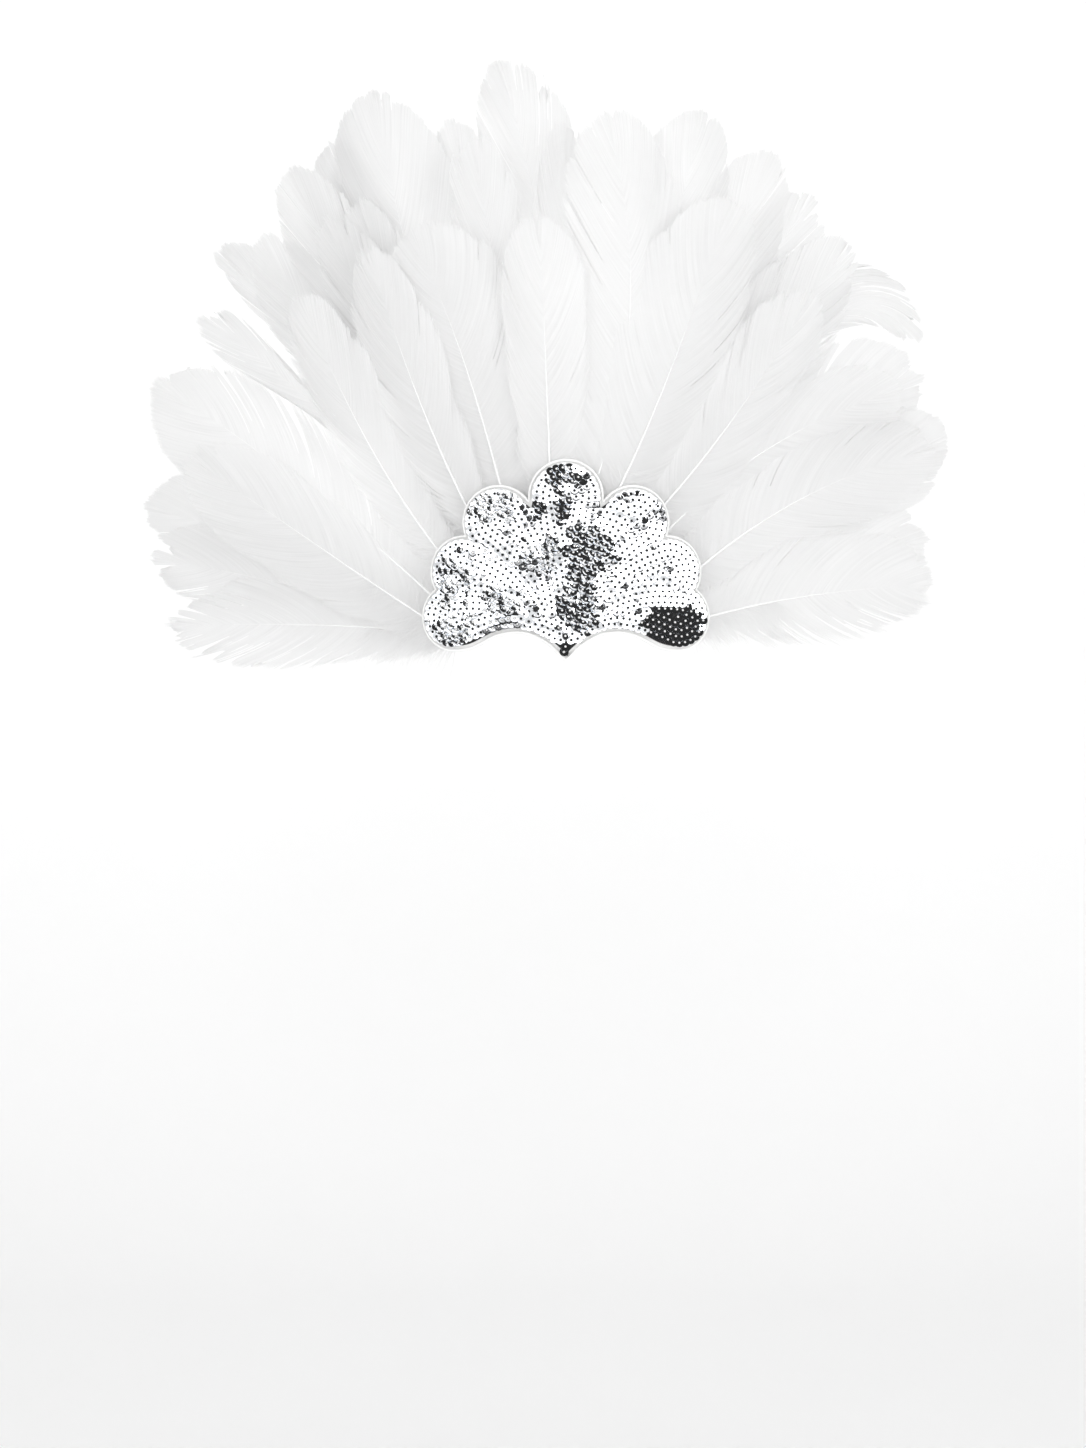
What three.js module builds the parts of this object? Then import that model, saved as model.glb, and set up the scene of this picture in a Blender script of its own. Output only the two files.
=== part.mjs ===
// Feather headband: a fan of white feathers glued by their quills to the back of a scalloped,
// sequinned plaque, with an elastic loop that carries it round the head.
// Millimetres, +Z up. The origin is the middle of the head opening at the elastic's mid-height.
// The plaque faces -Y, and +X is to the right of someone who looks at it.
//
// Plaque and feathers are laid out flat first, as when they are made. `across` and `up` are measured
// from the point at the plaque's lower edge, and `depth` from the back of its board towards the head.
// bendRoundHead() then curves the flat layout to the wearer's head.

import * as THREE from "three";

const GAP = 0.3; // between pieces that touch
const { degToRad, lerp, clamp, smoothstep } = THREE.MathUtils;

// Elastic head band, an oval loop stretched round the head
const BAND_HALF_BREADTH = 78; // inside, ear to ear
const BAND_HALF_LENGTH = 97; // inside, plaque to forehead
const BAND_HEIGHT = 20;
const BAND_THICKNESS = 1.5;
const BAND_STEPS = 56;

// Bend of the plaque and the fan round the head
const BEND_RADIUS = 170;
const BEND_MOST = degToRad(20); // beyond this turn the fan runs on straight
const PLAQUE_BACK_Y = -(BAND_HALF_LENGTH + BAND_THICKNESS + GAP);
const BAND_UP = 30; // the elastic's mid-height above the plaque's point

// Plaque: a stiffened felt board with a bare border round a padded field of sequins
const BOARD_THICKNESS = 2.4;
const BOARD_BEVEL = 0.8;
const BORDER = 3;
const SEQUIN_EDGE = 1.2; // thickness of the sequin field at its edge and in its grooves
const FLUTE_CROWN = 1.6; // how far a flute's back rises above the grooves
const PLAQUE_MIDDLE = { across: 0, up: 36 }; // every point of the outline can be seen from here
const ARCH = { across: 26, up: 15.7, shoulder: 12.3 }; // the lower edge's arches beside the point

// Scallops of the right half, from the lower edge to the top, with the flute that leads up to each:
// where it starts, the point that it curves past, and its half width at the start
const SCALLOPS = [
  { across: 60, up: 24.8, radius: 18.6, base: [21, 24], past: [32, 32], baseHalf: 6 },
  { across: 54.5, up: 49, radius: 19.3, base: [15, 24], past: [24, 45], baseHalf: 6 },
  { across: 35.8, up: 75, radius: 19.8, base: [8, 24], past: [14, 52], baseHalf: 6 },
  { across: 0, up: 88.5, radius: 20, base: [0, 4], past: [0, 45], baseHalf: 3 },
];

// Feathers: quill, vane and how the vane is curved
const QUILL_RADIUS = 1.1;
const QUILL_TIP_RADIUS = 0.45;
const VANE_THICKNESS = 1;
const VANE_DROOP = 1.5; // how far the vane drops towards the head at DROOP_AT beside the quill
const DROOP_AT = 20;
const TIP_HALF_WIDTH = 1.2;
const SEAT_DEPTH = QUILL_RADIUS + GAP + 0.2; // quill's axis behind the board, clear of its facets
const RANK_STEP = 0.07; // how much each rank leans back from the one before it
const RANK_EASE = 150; // distance over which that lean slackens
const CURL_FROM = 0.35; // share of the length where the tip starts to curl forward

// The quills' ends lie behind the plaque on two arcs round FAN_MIDDLE.
const FAN_MIDDLE = { across: 0, up: 12 };
const ROWS = {
  front: { arc: { across: 57, up: 50 }, bareQuill: 26, stepBack: 0, curl: 10 },
  back: { arc: { across: 44, up: 36 }, bareQuill: 40, stepBack: 2.7, curl: 18 },
};
const STEP_BACK_OVER = 12; // the back row's quills pass behind the front row's within this length

// Each feather from the left to the right of its row: where its quill ends on the row's arc (degrees
// from straight up), where its tip lies, how far its middle bows to the right of the straight line,
// its width, and its rank from the front of the fan to the back. Some have uneven sides (shares of the
// width on the left and the right), a slender foot, or a tip that hooks to the right by some degrees.
const FRONT_FEATHERS = [
  { root: -90, tip: [-212, 113], bow: -2, width: 46, rank: 0 },
  { root: -80, tip: [-235, 155], bow: 4, width: 64, rank: 1, sides: [1.05, 0.9] },
  { root: -60, tip: [-146, 199], bow: -11, width: 36, rank: 0 },
  { root: -47, tip: [-138, 241], bow: 0, width: 36, rank: 2 },
  { root: -42.5, tip: [-121, 252], bow: -4, width: 34, rank: 3 },
  { root: -38, tip: [-107, 223], bow: -8, width: 36, rank: 0 },
  { root: -27, tip: [-85, 232], bow: 4, width: 60, rank: 1 },
  { root: -7, tip: [-14, 237], bow: 0, width: 40, rank: 0 },
  { root: 0, tip: [20, 294], bow: 25, width: 58, rank: 1 },
  { root: 12, tip: [88, 248], bow: 6, width: 56, rank: 0 },
  { root: 26, tip: [138, 201], bow: 9, width: 44, rank: 1 },
  { root: 40, tip: [195, 150], bow: -13, width: 46, rank: 2 },
  { root: 66, tip: [211, 118], bow: -11, width: 48, rank: 1 },
  { root: 82, tip: [208, 43], bow: -5, width: 50, rank: 0, sides: [1, 0.85] },
];
const BACK_FEATHERS = [
  { root: -88, tip: [-232, 21], bow: 4, width: 42, rank: 3, sides: [0.85, 1] },
  { root: -79, tip: [-245, 60], bow: 0, width: 46, rank: 4 },
  { root: -70, tip: [-250, 86], bow: 4, width: 46, rank: 5 },
  { root: -61, tip: [-217, 192], bow: 5, width: 44, rank: 6, sides: [1, 0.5], slender: 1.5 },
  { root: -53, tip: [-209, 227], bow: 8, width: 40, rank: 5 },
  { root: -45, tip: [-181, 232], bow: -4, width: 42, rank: 4 },
  { root: -38, tip: [-160, 268], bow: -4, width: 46, rank: 3 },
  { root: -31, tip: [-142, 283], bow: -6, width: 46, rank: 5 },
  { root: -24, tip: [-112, 309], bow: -16, width: 70, rank: 3.6 },
  { root: -19, tip: [-72, 294], bow: -6, width: 36, rank: 6.4 },
  { root: -14, tip: [-53, 282], bow: -3, width: 40, rank: 3 },
  { root: -7, tip: [-43, 324], bow: 4, width: 58, rank: 5, hook: -12 },
  { root: 1, tip: [0, 288], bow: 0, width: 40, rank: 4 },
  { root: 9, tip: [79, 298], bow: 6, width: 56, rank: 3 },
  { root: 18, tip: [121, 277], bow: 4, width: 52, rank: 4 },
  { root: 27, tip: [147, 257], bow: 2, width: 52, rank: 5 },
  { root: 36, tip: [164, 229], bow: 0, width: 50, rank: 3 },
  { root: 45, tip: [207, 177], bow: -25, width: 42, rank: 4.4, sides: [1, 0.5], hook: 70 },
  { root: 54, tip: [212, 160], bow: -8, width: 54, rank: 5, sides: [1.2, 1] },
  { root: 64, tip: [223, 124], bow: -6, width: 56, rank: 3, sides: [1.05, 0.85] },
  { root: 77, tip: [215, 67], bow: -6, width: 48, rank: 5 },
];

const felt = new THREE.MeshStandardMaterial({ color: 0xf2f2f1, roughness: 0.9 });
const sequins = new THREE.MeshStandardMaterial({ color: 0xd8dadd, roughness: 0.18, metalness: 1 });
const elastic = new THREE.MeshStandardMaterial({ color: 0xeeeeec, roughness: 0.85 });
const goose = new THREE.MeshStandardMaterial({ color: 0xf5f5f4, roughness: 0.7 });

// Carries a point of the flat layout round the head.
function bendRoundHead(across, depth, up) {
  const turn = clamp(across / BEND_RADIUS, -BEND_MOST, BEND_MOST);
  const straight = across - turn * BEND_RADIUS;
  const sin = Math.sin(turn);
  const cos = Math.cos(turn);
  return new THREE.Vector3(
    BEND_RADIUS * sin + straight * cos - depth * sin,
    BEND_RADIUS * (1 - cos) + straight * sin + depth * cos,
    up,
  );
}

// A closed solid through rings that all have the same number of points. A loop joins its last ring to
// its first, and any other loft is capped with a fan at each end.
function loft(rings, isLoop = false) {
  const count = rings[0].length;
  const points = rings.flat();
  const faces = [];
  const lastRing = isLoop ? rings.length : rings.length - 1;
  for (let ring = 0; ring < lastRing; ring++) {
    const here = ring * count;
    const there = ((ring + 1) % rings.length) * count;
    for (let side = 0; side < count; side++) {
      const next = (side + 1) % count;
      faces.push(here + side, here + next, there + next);
      faces.push(here + side, there + next, there + side);
    }
  }
  if (!isLoop) {
    const end = points.length - count;
    for (let side = 1; side < count - 1; side++) {
      faces.push(0, side + 1, side);
      faces.push(end, end + side, end + side + 1);
    }
  }
  if (signedVolume(points, faces) < 0) faces.reverse();
  const geometry = new THREE.BufferGeometry().setFromPoints(points);
  geometry.setIndex(faces);
  geometry.computeVertexNormals();
  return geometry;
}

function signedVolume(points, faces) {
  let sixfold = 0;
  for (let i = 0; i < faces.length; i += 3) {
    const [a, b, c] = [points[faces[i]], points[faces[i + 1]], points[faces[i + 2]]];
    sixfold += a.dot(new THREE.Vector3().crossVectors(b, c));
  }
  return sixfold / 6;
}

function named(name, geometry, material) {
  const mesh = new THREE.Mesh(geometry, material);
  mesh.name = name;
  return mesh;
}

// Where the outer edges of two scallops meet, which is the notch between them.
function notchBetween(low, high) {
  const from = new THREE.Vector2(low.across, low.up);
  const way = new THREE.Vector2(high.across, high.up).sub(from);
  const apart = way.length();
  const along = (low.radius ** 2 - high.radius ** 2 + apart ** 2) / (2 * apart);
  const aside = Math.sqrt(low.radius ** 2 - along ** 2);
  way.divideScalar(apart);
  return from.addScaledVector(way, along).addScaledVector(new THREE.Vector2(way.y, -way.x), aside);
}

// The plaque's outline as points that run once round it, anticlockwise from the point.
function plaqueOutline() {
  const [lowest] = SCALLOPS;
  const half = new THREE.Path().moveTo(0, 0);
  half.quadraticCurveTo(ARCH.shoulder, ARCH.up, ARCH.across, ARCH.up);
  const middle = (ARCH.across + lowest.across) / 2;
  const foot = new THREE.Vector2(lowest.across, lowest.up - lowest.radius);
  half.bezierCurveTo(middle, ARCH.up, middle, foot.y, foot.x, foot.y);
  let start = foot;
  SCALLOPS.forEach((lobe, i) => {
    const above = SCALLOPS[i + 1];
    const end = above ? notchBetween(lobe, above) : new THREE.Vector2(0, lobe.up + lobe.radius);
    const angleOf = (p) => Math.atan2(p.y - lobe.up, p.x - lobe.across);
    half.absarc(lobe.across, lobe.up, lobe.radius, angleOf(start), angleOf(end), false);
    start = end;
  });
  const right = half.getPoints(4).filter((p, i, all) => !i || p.distanceTo(all[i - 1]) > 0.2);
  const left = right.slice(1, -1).reverse().map((p) => new THREE.Vector2(-p.x, p.y));
  return [...right, ...left];
}

// The same outline drawn in by an even border.
function drawnIn(outline, border) {
  const inward = (from, to) => new THREE.Vector2(from.y - to.y, to.x - from.x).normalize();
  return outline.map((p, i) => {
    const before = inward(outline.at(i - 1), p);
    const after = inward(p, outline[(i + 1) % outline.length]);
    const way = before.clone().add(after).normalize();
    const mitre = Math.max(way.dot(before), 0.6);
    return p.clone().addScaledVector(way, border / mitre);
  });
}

// A bent disc: rings of the outline, each drawn in towards the plaque's middle by its own share and
// set at its own depth.
function bentDisc(outline, rings) {
  return loft(
    rings.map(({ share, depthAt }) =>
      outline.map((p) => {
        const across = lerp(PLAQUE_MIDDLE.across, p.x, share);
        const up = lerp(PLAQUE_MIDDLE.up, p.y, share);
        return bendRoundHead(across, depthAt(across, up), up);
      }),
    ),
  );
}

function plaqueBoard() {
  const front = () => -BOARD_THICKNESS;
  const bevel = () => -BOARD_THICKNESS + BOARD_BEVEL;
  const back = () => 0;
  const shares = [0.04, 0.2, 0.4, 0.6, 0.8];
  const inner = shares.map((share) => ({ share, depthAt: front }));
  const outer = shares.map((share) => ({ share, depthAt: back })).reverse();
  const rim = [
    { share: 0.985, depthAt: front },
    { share: 1, depthAt: bevel },
    { share: 1, depthAt: back },
  ];
  return bentDisc(plaqueOutline(), [...inner, ...rim, ...outer]);
}

// Both halves' flutes, each as a centre line with a half width at every step.
function fluteLines() {
  const steps = 16;
  return SCALLOPS.flatMap((lobe) => {
    const sides = lobe.across ? [-1, 1] : [1];
    return sides.map((side) => {
      const line = new THREE.QuadraticBezierCurve(
        new THREE.Vector2(side * lobe.base[0], lobe.base[1]),
        new THREE.Vector2(side * lobe.past[0], lobe.past[1]),
        new THREE.Vector2(side * lobe.across, lobe.up),
      );
      return line.getPoints(steps).map((point, i) => ({
        point,
        half: lerp(lobe.baseHalf, lobe.radius - BORDER, i / steps),
      }));
    });
  });
}

// Height of the padded sequin field above the board: each flute is crowned, with a groove between two.
function fluteHeight(flutes, across, up) {
  const here = new THREE.Vector2(across, up);
  let crown = 0;
  for (const { point, half } of flutes.flat()) {
    const aside = here.distanceTo(point) / half;
    crown = Math.max(crown, 1 - aside ** 2);
  }
  return SEQUIN_EDGE + FLUTE_CROWN * crown;
}

function sequinPanel() {
  const flutes = fluteLines();
  const seat = -(BOARD_THICKNESS + GAP);
  const back = () => seat;
  const front = (across, up) => seat - fluteHeight(flutes, across, up);
  const edge = () => seat - SEQUIN_EDGE;
  return bentDisc(drawnIn(plaqueOutline(), BORDER), [
    ...[0.04, 0.2, 0.38, 0.55, 0.7, 0.84, 0.94].map((share) => ({ share, depthAt: front })),
    { share: 1, depthAt: edge },
    ...[1, 0.8, 0.6, 0.4, 0.2, 0.04].map((share) => ({ share, depthAt: back })),
  ]);
}

// Half the vane's width at a share of the vane's own length: it widens slowly and ends round.
function vaneHalfWidth({ width, slender = 0.55 }, share) {
  const fullest = 0.78; // the largest value of the curve below
  const curve = share ** slender * Math.sqrt(1 - share ** 6);
  return Math.max((width / 2) * (curve / fullest), TIP_HALF_WIDTH);
}

// A feather's centre line in the flat layout, bowed sideways and hooked at its tip.
function featherSpine({ root: rootAngle, tip: [across, up], bow, hook = 0 }, { arc }) {
  const angle = degToRad(rootAngle);
  const root = new THREE.Vector2(
    FAN_MIDDLE.across + arc.across * Math.sin(angle),
    FAN_MIDDLE.up + arc.up * Math.cos(angle),
  );
  const tip = new THREE.Vector2(across, up);
  const way = tip.clone().sub(root).normalize();
  const bent = root.clone().lerp(tip, 0.5).addScaledVector(new THREE.Vector2(way.y, -way.x), 2 * bow);
  const beforeTip = tip.clone().lerp(bent, 2 / 3).rotateAround(tip, -degToRad(hook));
  return new THREE.CubicBezierCurve(root, root.clone().lerp(bent, 2 / 3), beforeTip, tip);
}

// One feather from the end of its quill to its tip.
function featherGeometry(feather, row) {
  const { rank, sides = [1, 1] } = feather;
  const spine = featherSpine(feather, row);
  const length = spine.getLength();
  const vaneFrom = row.bareQuill / length;
  const vaneShares = [0.1, 0.22, 0.36, 0.5, 0.64, 0.76, 0.85, 0.92, 0.97, 1];
  const stations = [0, vaneFrom, ...vaneShares.map((share) => lerp(vaneFrom, 1, share))];
  return loft(
    stations.map((u) => {
      const point = spine.getPointAt(u);
      const ahead = spine.getTangentAt(u);
      const aside = new THREE.Vector2(ahead.y, -ahead.x);
      const run = u * length;
      const lean = (rank * RANK_STEP * run) / (1 + run / RANK_EASE);
      const stepBack = row.stepBack * smoothstep(run, 0, STEP_BACK_OVER);
      const curl = row.curl * Math.max(0, (u - CURL_FROM) / (1 - CURL_FROM)) ** 2;
      const axisDepth = SEAT_DEPTH + stepBack + lean - curl;
      const quill = lerp(QUILL_RADIUS, QUILL_TIP_RADIUS, u);
      const onVane = (u - vaneFrom) / (1 - vaneFrom);
      const half = onVane > 0 ? vaneHalfWidth(feather, onVane) : 0;
      const [left, right] = sides.map((share) => Math.max(half * share, quill));
      return featherSection(left, right, quill).map(([sideways, back]) => {
        const droop = VANE_DROOP * (sideways / DROOP_AT) ** 2;
        const across = point.x + aside.x * sideways;
        const up = point.y + aside.y * sideways;
        return bendRoundHead(across, axisDepth + back + droop, up);
      });
    }),
  );
}

// A feather's section: two thin vane halves with the quill standing proud between them.
function featherSection(left, right, quill) {
  const skin = Math.min(VANE_THICKNESS / 2, quill);
  const shoulder = Math.max(0.8 * quill, skin);
  return [
    [-left, -skin],
    [-0.6 * quill, -shoulder],
    [0, -Math.max(quill, shoulder)],
    [0.6 * quill, -shoulder],
    [right, -skin],
    [right, skin],
    [0, Math.max(quill, skin)],
    [-left, skin],
  ];
}

function feathers(prefix, rows, row) {
  return rows.map((feather, i) => {
    const name = prefix + String(i + 1).padStart(2, "0");
    return named(name, featherGeometry(feather, row), goose);
  });
}

function headBand() {
  const rings = [];
  for (let step = 0; step < BAND_STEPS; step++) {
    const turn = (2 * Math.PI * step) / BAND_STEPS;
    const corner = (outward, up) =>
      new THREE.Vector3(
        (BAND_HALF_BREADTH + outward) * Math.cos(turn),
        (BAND_HALF_LENGTH + outward) * Math.sin(turn),
        up,
      );
    const half = BAND_HEIGHT / 2;
    rings.push([corner(0, -half), corner(BAND_THICKNESS, -half), corner(BAND_THICKNESS, half), corner(0, half)]);
  }
  return loft(rings, true);
}

const headpiece = new THREE.Group();
headpiece.position.set(0, PLAQUE_BACK_Y, -BAND_UP);
headpiece.add(
  named("plaque_board", plaqueBoard(), felt),
  named("sequin_panel", sequinPanel(), sequins),
  ...feathers("front_feather_", FRONT_FEATHERS, ROWS.front),
  ...feathers("back_feather_", BACK_FEATHERS, ROWS.back),
);

const headband = new THREE.Group();
headband.add(named("head_band", headBand(), elastic), headpiece);

export default headband;
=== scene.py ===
"""Looks of the feather headband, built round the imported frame: metres, +Z up, the plaque faces -Y."""

import math
from typing import NamedTuple

import bpy
import numpy as np
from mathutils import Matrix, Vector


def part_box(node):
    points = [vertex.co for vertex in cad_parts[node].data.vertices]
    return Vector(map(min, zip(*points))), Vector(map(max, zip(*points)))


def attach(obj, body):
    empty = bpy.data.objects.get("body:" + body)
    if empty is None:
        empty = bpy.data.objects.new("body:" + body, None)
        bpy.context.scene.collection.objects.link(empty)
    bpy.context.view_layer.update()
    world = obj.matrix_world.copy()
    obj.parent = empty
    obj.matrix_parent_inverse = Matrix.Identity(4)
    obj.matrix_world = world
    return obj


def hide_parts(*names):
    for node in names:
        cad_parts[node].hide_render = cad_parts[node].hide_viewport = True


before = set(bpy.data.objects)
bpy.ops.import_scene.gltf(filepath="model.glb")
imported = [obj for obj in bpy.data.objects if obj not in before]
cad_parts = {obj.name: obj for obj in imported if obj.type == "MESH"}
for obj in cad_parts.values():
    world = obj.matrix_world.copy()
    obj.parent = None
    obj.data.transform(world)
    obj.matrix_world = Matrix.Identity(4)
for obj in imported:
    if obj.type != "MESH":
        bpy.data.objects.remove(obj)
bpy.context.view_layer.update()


# View
# The photo is taken level from about two and a half metres, straight at the plaque, in a tall frame
# with the fan in its upper half.
MM = 0.001
PHOTO_WIDTH = 1086
PHOTO_HEIGHT = 1448
PHOTO_PIXEL = 0.53 * MM  # what one pixel covers at the plaque
POINT_ACROSS_PIXEL = 566  # the plaque's lower point in the photo
POINT_DOWN_PIXEL = 663
POINT_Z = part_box("plaque_board")[0].z
PLAQUE_FRONT_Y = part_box("sequin_panel")[0].y
VIEW_DISTANCE = 2.5
SENSOR_HEIGHT = 24

camera_data = bpy.data.cameras.new("view")
camera_data.sensor_fit = "VERTICAL"
camera_data.sensor_height = SENSOR_HEIGHT
camera_data.lens = SENSOR_HEIGHT * VIEW_DISTANCE / (PHOTO_HEIGHT * PHOTO_PIXEL)
camera = bpy.data.objects.new("view", camera_data)
camera.location = (
    (PHOTO_WIDTH / 2 - POINT_ACROSS_PIXEL) * PHOTO_PIXEL,
    PLAQUE_FRONT_Y - VIEW_DISTANCE,
    POINT_Z + (POINT_DOWN_PIXEL - PHOTO_HEIGHT / 2) * PHOTO_PIXEL,
)
camera.rotation_euler = (math.radians(90), 0, 0)
bpy.context.scene.collection.objects.link(camera)
bpy.context.scene.camera = camera
bpy.context.scene.view_settings.view_transform = "Standard"


# Studio
# A white paper sweep runs from the floor up behind the headband. Most light comes from the white wall
# behind the camera, with two large soft boxes before it and a spot lamp on the plaque and the middle of
# the fan. The wall has two dark places, which some of the sequins mirror.
def linear(code):
    """An sRGB hex colour as linear red, green, blue and alpha."""
    parts = [int(code[i : i + 2], 16) / 255 for i in (1, 3, 5)]
    return [p / 12.92 if p <= 0.04045 else ((p + 0.055) / 1.055) ** 2.4 for p in parts] + [1.0]


def add_node(tree, kind, inputs=None, **settings):
    """Adds a node with its settings, and sets or links its inputs. A node there is its first output."""
    node = tree.nodes.new(kind)
    for name, value in settings.items():
        setattr(node, name, value)
    for key, value in (inputs or {}).items():
        if isinstance(value, bpy.types.Node):
            value = value.outputs[0]
        if isinstance(value, bpy.types.NodeSocket):
            tree.links.new(value, node.inputs[key])
        else:
            node.inputs[key].default_value = value
    return node


def begin_material(name):
    """A new material with an empty node tree."""
    material = bpy.data.materials.new(name)
    material.use_nodes = True
    material.node_tree.nodes.clear()
    return material, material.node_tree


def make_piece(name, points, faces, materials, material_of_face=None, smooth=True):
    """A mesh object from points in metres and faces, linked into the scene."""
    mesh = bpy.data.meshes.new(name)
    faces = faces.tolist() if isinstance(faces, np.ndarray) else faces
    mesh.from_pydata(np.asarray(points).tolist(), [], faces)
    for material in materials:
        mesh.materials.append(material)
    if material_of_face is not None:
        mesh.polygons.foreach_set("material_index", np.asarray(material_of_face, dtype=np.int32))
    mesh.polygons.foreach_set("use_smooth", np.full(len(mesh.polygons), smooth))
    mesh.update()
    piece = bpy.data.objects.new(name, mesh)
    bpy.context.scene.collection.objects.link(piece)
    return piece


def grid_faces(rows, columns, closed=False):
    """Quads of a grid of points, row after row. A closed grid joins its last column to its first."""
    quads = columns if closed else columns - 1
    row, column = np.meshgrid(np.arange(rows - 1), np.arange(quads), indexing="ij")
    beside = (column + 1) % columns
    here = row * columns
    above = here + columns
    return np.stack([here + column, here + beside, above + beside, above + column], -1).reshape(-1, 4)


FLOOR_Z = -0.55
SWEEP_HALF_WIDTH = 4.0
SWEEP_FRONT_Y = -4.5
SWEEP_BACK_Y = 1.9
SWEEP_TOP_Z = 3.2
COVE_RADIUS = 0.5
COVE_STEPS = 24

cove = np.linspace(0, math.pi / 2, COVE_STEPS)
cove_y = SWEEP_BACK_Y - COVE_RADIUS + COVE_RADIUS * np.sin(cove)
cove_z = FLOOR_Z + COVE_RADIUS * (1 - np.cos(cove))
sweep_y = np.concatenate([[SWEEP_FRONT_Y], cove_y, [SWEEP_BACK_Y]])
sweep_z = np.concatenate([[FLOOR_Z], cove_z, [SWEEP_TOP_Z]])
sweep_points = [(side * SWEEP_HALF_WIDTH, y, z) for y, z in zip(sweep_y, sweep_z) for side in (-1, 1)]
# Matt white background paper, with the faint tooth of its pulp
paper, tree = begin_material("white background paper")
place = add_node(tree, "ShaderNodeTexCoord").outputs["Object"]
tooth = add_node(tree, "ShaderNodeTexNoise", {"Vector": place, "Scale": 1 / (3 * MM), "Detail": 2.0})
bump = add_node(tree, "ShaderNodeBump", {"Height": tooth, "Strength": 0.05, "Distance": 0.1 * MM})
shader = add_node(
    tree,
    "ShaderNodeBsdfPrincipled",
    {"Base Color": linear("#fcfcfc"), "Roughness": 0.9, "Normal": bump},
)
add_node(tree, "ShaderNodeOutputMaterial", {"Surface": shader})
sweep = make_piece("floor", sweep_points, grid_faces(len(sweep_y), 2), [paper])

# The room's own light by direction: a bright wall towards -Y, with two dark places above the camera, one
# on the left and one on the right
DARK_PLACE = (0.3, -0.81, 0.5)
DARK_INNER = 0.31
DARK_OUTER = 0.36
DARK_LIGHT = 0.03
ROOM_LIGHT = 0.625
WALL_LIGHT = 1.9
WALL_BEGINS = -0.3
WALL_FULL = -0.7
room = bpy.data.worlds.new("studio room")
room.use_nodes = True
bpy.context.scene.world = room
tree = room.node_tree
tree.nodes.clear()
direction = add_node(tree, "ShaderNodeTexCoord")
parts = add_node(tree, "ShaderNodeSeparateXYZ", {"Vector": direction.outputs["Generated"]})
sideways = add_node(tree, "ShaderNodeMath", {0: parts.outputs["X"]}, operation="ABSOLUTE")
folded = add_node(
    tree, "ShaderNodeCombineXYZ", {"X": sideways, "Y": parts.outputs["Y"], "Z": parts.outputs["Z"]}
)
dark_off = add_node(tree, "ShaderNodeVectorMath", {0: folded, 1: DARK_PLACE}, operation="DISTANCE")
light_share = add_node(
    tree,
    "ShaderNodeMapRange",
    {"Value": dark_off.outputs["Value"], "From Min": DARK_INNER, "From Max": DARK_OUTER},
    interpolation_type="SMOOTHSTEP",
)
wall = add_node(
    tree,
    "ShaderNodeMapRange",
    {
        "Value": parts.outputs["Y"],
        "From Min": WALL_BEGINS,
        "From Max": WALL_FULL,
        "To Min": ROOM_LIGHT,
        "To Max": WALL_LIGHT,
    },
    interpolation_type="SMOOTHSTEP",
)
lit = add_node(tree, "ShaderNodeMath", {0: light_share, 1: wall}, operation="MULTIPLY")
strength = add_node(tree, "ShaderNodeMath", {0: lit, 1: DARK_LIGHT}, operation="ADD")
background = add_node(tree, "ShaderNodeBackground", {"Color": linear("#ffffff"), "Strength": strength})
add_node(tree, "ShaderNodeOutputWorld", {"Surface": background})

LAMPS = [
    {"name": "soft_box_left", "kind": "AREA", "at": (-1.5, -2.5, 1.0), "size": 1.5, "watts": 11},
    {"name": "soft_box_right", "kind": "AREA", "at": (2.1, -1.9, 0.5), "size": 1.5, "watts": 13},
    {"name": "spot_lamp", "kind": "SPOT", "at": (0, -2.6, 0.5), "size": 0.25, "watts": 26},
]
SPOT_REACH = 0.32  # how far from the lit point its light ends
LIT_POINT = (-0.02, -0.1, 0.12)
for setting in LAMPS:
    light = bpy.data.lights.new(setting["name"], setting["kind"])
    light.energy = setting["watts"]
    if setting["kind"] == "SPOT":
        light.shadow_soft_size = setting["size"]
        light.spot_size = 2 * math.atan(SPOT_REACH / math.dist(LIT_POINT, setting["at"]))
        light.spot_blend = 1
    else:
        light.size = setting["size"]
    lamp = bpy.data.objects.new(setting["name"], light)
    lamp.location = setting["at"]
    way = np.subtract(LIT_POINT, setting["at"])
    pitch = math.atan2(way[2], math.hypot(way[0], way[1]))
    heading = math.atan2(way[1], way[0])
    lamp.rotation_euler = (math.pi / 2 + pitch, 0, heading - math.pi / 2)
    bpy.context.scene.collection.objects.link(lamp)


# Plaque board
# Stiff white felt, cut with seven scallops and a point at the bottom, bent a little round the head.
# Its bare border stands round the sequins and ends in a thin rolled lip.
# Sizes from here on are in millimetres. Those of the plaque and the feathers are in a flat layout, which
# is bent when the points are made.
BEND_RADIUS = 170
BEND_MOST = math.radians(20)  # beyond it the fan goes on straight
PLAQUE_BACK_Y = -98.8
POINT_BELOW_ORIGIN = 30


def bend_turn(across):
    """How far the bend has turned at a distance from the middle."""
    return np.clip(across / BEND_RADIUS, -BEND_MOST, BEND_MOST)


def bend_round_head(across, depth, up):
    """Points in metres from the flat layout in millimetres, as the plaque and the fan are bent when worn."""
    turn = bend_turn(across)
    straight = across - turn * BEND_RADIUS
    x = BEND_RADIUS * np.sin(turn) + straight * np.cos(turn) - depth * np.sin(turn)
    y = BEND_RADIUS * (1 - np.cos(turn)) + straight * np.sin(turn) + depth * np.cos(turn)
    return np.stack([x, y + PLAQUE_BACK_Y, up - POINT_BELOW_ORIGIN + 0 * x], -1) * MM


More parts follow.
